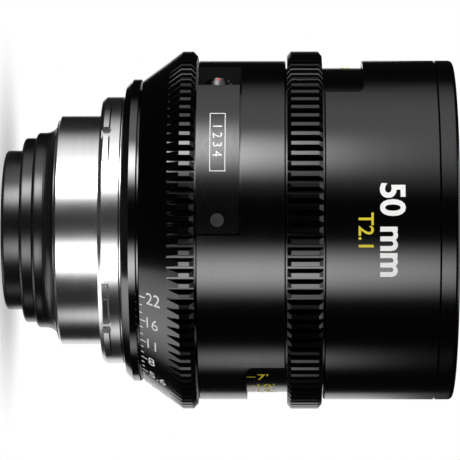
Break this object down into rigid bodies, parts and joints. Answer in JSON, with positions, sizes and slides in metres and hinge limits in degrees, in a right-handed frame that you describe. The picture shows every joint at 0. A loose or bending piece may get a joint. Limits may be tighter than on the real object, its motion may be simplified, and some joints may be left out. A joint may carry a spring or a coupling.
{
  "type": "cinema prime lens",
  "caption": "Black cylindrical cinema prime lens with a silver bayonet mount, geared iris and focus rings, scale windows and a data socket; turning a ring moves blades or glass.",
  "frame": {"origin": "centre of the mount's flange face, on the optical axis", "axes": "+Z along the optical axis toward the subject, -Y toward the top of the lens, +X toward the side with the rear scale window"},
  "size_m": [0.0844, 0.0844, 0.1051],
  "materials": {
    "mount_steel": "turned and polished stainless steel",
    "screw_steel": "machined steel",
    "socket_steel": "turned steel",
    "baffle_black": "matt black anodised",
    "shell_black": "satin black anodised",
    "cover_black": "brushed black anodised",
    "ring_black": "satin black anodised, machined teeth",
    "inner_black": "matt black anodised",
    "blade_steel": "blackened spring steel",
    "coated_glass": "polished and coated",
    "pin_brass": "turned",
    "slide_plastic": "smooth",
    "insert_plastic": "moulded",
    "board_green": "solder mask"
  },
  "bodies": {
    "barrel": {"pl_mount": "mount_steel", "mount_shim": "mount_steel", "mount_screws": "screw_steel", "data_cover_screw": "screw_steel", "data_socket_shell": "socket_steel", "rear_baffle": "baffle_black", "rear_barrel": "shell_black", "middle_barrel": "shell_black", "front_barrel": "shell_black", "front_ring": "shell_black", "data_cover": "cover_black", "rear_retainer": "inner_black", "rear_cell": "inner_black", "rear_lock_ring": "inner_black", "iris_base": "inner_black", "iris_cover": "inner_black", "main_barrel": "inner_black", "barrel_lock_ring": "inner_black", "second_cell": "inner_black", "second_retainer": "inner_black", "front_cell": "inner_black", "front_retainer": "inner_black", "rear_element": "coated_glass", "rear_doublet": "coated_glass", "second_element": "coated_glass", "front_element": "coated_glass", "data_contacts": "pin_brass", "focus_slide_rings": "slide_plastic", "data_socket_insert": "insert_plastic", "data_board": "board_green"},
    "iris_ring": {"iris_ring": "ring_black", "iris_drive_screw": "screw_steel", "iris_actuator": "inner_black"},
    "focus_ring": {"focus_ring": "ring_black", "focus_cam": "inner_black", "focus_ring_screws": "screw_steel"},
    "focus_group": {"focus_cell": "inner_black", "focus_follower": "pin_brass", "focus_doublet": "coated_glass", "focus_retainer": "inner_black"},
    "iris_blade_1": {"iris_blade_1": "blade_steel"},
    "iris_blade_2": {"iris_blade_2": "blade_steel"},
    "iris_blade_3": {"iris_blade_3": "blade_steel"},
    "iris_blade_4": {"iris_blade_4": "blade_steel"},
    "iris_blade_5": {"iris_blade_5": "blade_steel"},
    "iris_blade_6": {"iris_blade_6": "blade_steel"},
    "iris_blade_7": {"iris_blade_7": "blade_steel"},
    "iris_blade_8": {"iris_blade_8": "blade_steel"},
    "iris_blade_9": {"iris_blade_9": "blade_steel"},
    "iris_blade_10": {"iris_blade_10": "blade_steel"}
  },
  "joints": [
    {"name": "iris_turn", "type": "hinge", "parent": "barrel", "child": "iris_ring", "pos_m": [0, 0, 0.0158], "axis": [0, 0, 1], "range_deg": [0, 67]},
    {"name": "focus_turn", "type": "hinge", "parent": "barrel", "child": "focus_ring", "pos_m": [0, 0, 0.0473], "axis": [0, 0, 1], "range_deg": [0, 270]},
    {"name": "focus_travel", "type": "slide", "parent": "barrel", "child": "focus_group", "axis": [0, 0, 1], "range_m": [0, 0.006]},
    {"name": "iris_blade_1_turn", "type": "hinge", "parent": "barrel", "child": "iris_blade_1", "pos_m": [0.021, 0, 0.016], "axis": [0, 0, 1], "range_deg": [0, 31]},
    {"name": "iris_blade_2_turn", "type": "hinge", "parent": "barrel", "child": "iris_blade_2", "pos_m": [0.01699, 0.01234, 0.016], "axis": [0, 0, 1], "range_deg": [0, 31]},
    {"name": "iris_blade_3_turn", "type": "hinge", "parent": "barrel", "child": "iris_blade_3", "pos_m": [0.00649, 0.01997, 0.016], "axis": [0, 0, 1], "range_deg": [0, 31]},
    {"name": "iris_blade_4_turn", "type": "hinge", "parent": "barrel", "child": "iris_blade_4", "pos_m": [-0.00649, 0.01997, 0.016], "axis": [0, 0, 1], "range_deg": [0, 31]},
    {"name": "iris_blade_5_turn", "type": "hinge", "parent": "barrel", "child": "iris_blade_5", "pos_m": [-0.01699, 0.01234, 0.016], "axis": [0, 0, 1], "range_deg": [0, 31]},
    {"name": "iris_blade_6_turn", "type": "hinge", "parent": "barrel", "child": "iris_blade_6", "pos_m": [-0.021, 0, 0.016], "axis": [0, 0, 1], "range_deg": [0, 31]},
    {"name": "iris_blade_7_turn", "type": "hinge", "parent": "barrel", "child": "iris_blade_7", "pos_m": [-0.01699, -0.01234, 0.016], "axis": [0, 0, 1], "range_deg": [0, 31]},
    {"name": "iris_blade_8_turn", "type": "hinge", "parent": "barrel", "child": "iris_blade_8", "pos_m": [-0.00649, -0.01997, 0.016], "axis": [0, 0, 1], "range_deg": [0, 31]},
    {"name": "iris_blade_9_turn", "type": "hinge", "parent": "barrel", "child": "iris_blade_9", "pos_m": [0.00649, -0.01997, 0.016], "axis": [0, 0, 1], "range_deg": [0, 31]},
    {"name": "iris_blade_10_turn", "type": "hinge", "parent": "barrel", "child": "iris_blade_10", "pos_m": [0.01699, -0.01234, 0.016], "axis": [0, 0, 1], "range_deg": [0, 31]}
  ],
  "couplings": [
    {"joint": "focus_travel", "follows": "focus_turn", "m_per_rad": 0.0012732},
    {"joint": "iris_blade_1_turn", "follows": "iris_turn", "ratio": 0.46268},
    {"joint": "iris_blade_2_turn", "follows": "iris_turn", "ratio": 0.46268},
    {"joint": "iris_blade_3_turn", "follows": "iris_turn", "ratio": 0.46268},
    {"joint": "iris_blade_4_turn", "follows": "iris_turn", "ratio": 0.46268},
    {"joint": "iris_blade_5_turn", "follows": "iris_turn", "ratio": 0.46268},
    {"joint": "iris_blade_6_turn", "follows": "iris_turn", "ratio": 0.46268},
    {"joint": "iris_blade_7_turn", "follows": "iris_turn", "ratio": 0.46268},
    {"joint": "iris_blade_8_turn", "follows": "iris_turn", "ratio": 0.46268},
    {"joint": "iris_blade_9_turn", "follows": "iris_turn", "ratio": 0.46268},
    {"joint": "iris_blade_10_turn", "follows": "iris_turn", "ratio": 0.46268}
  ]
}
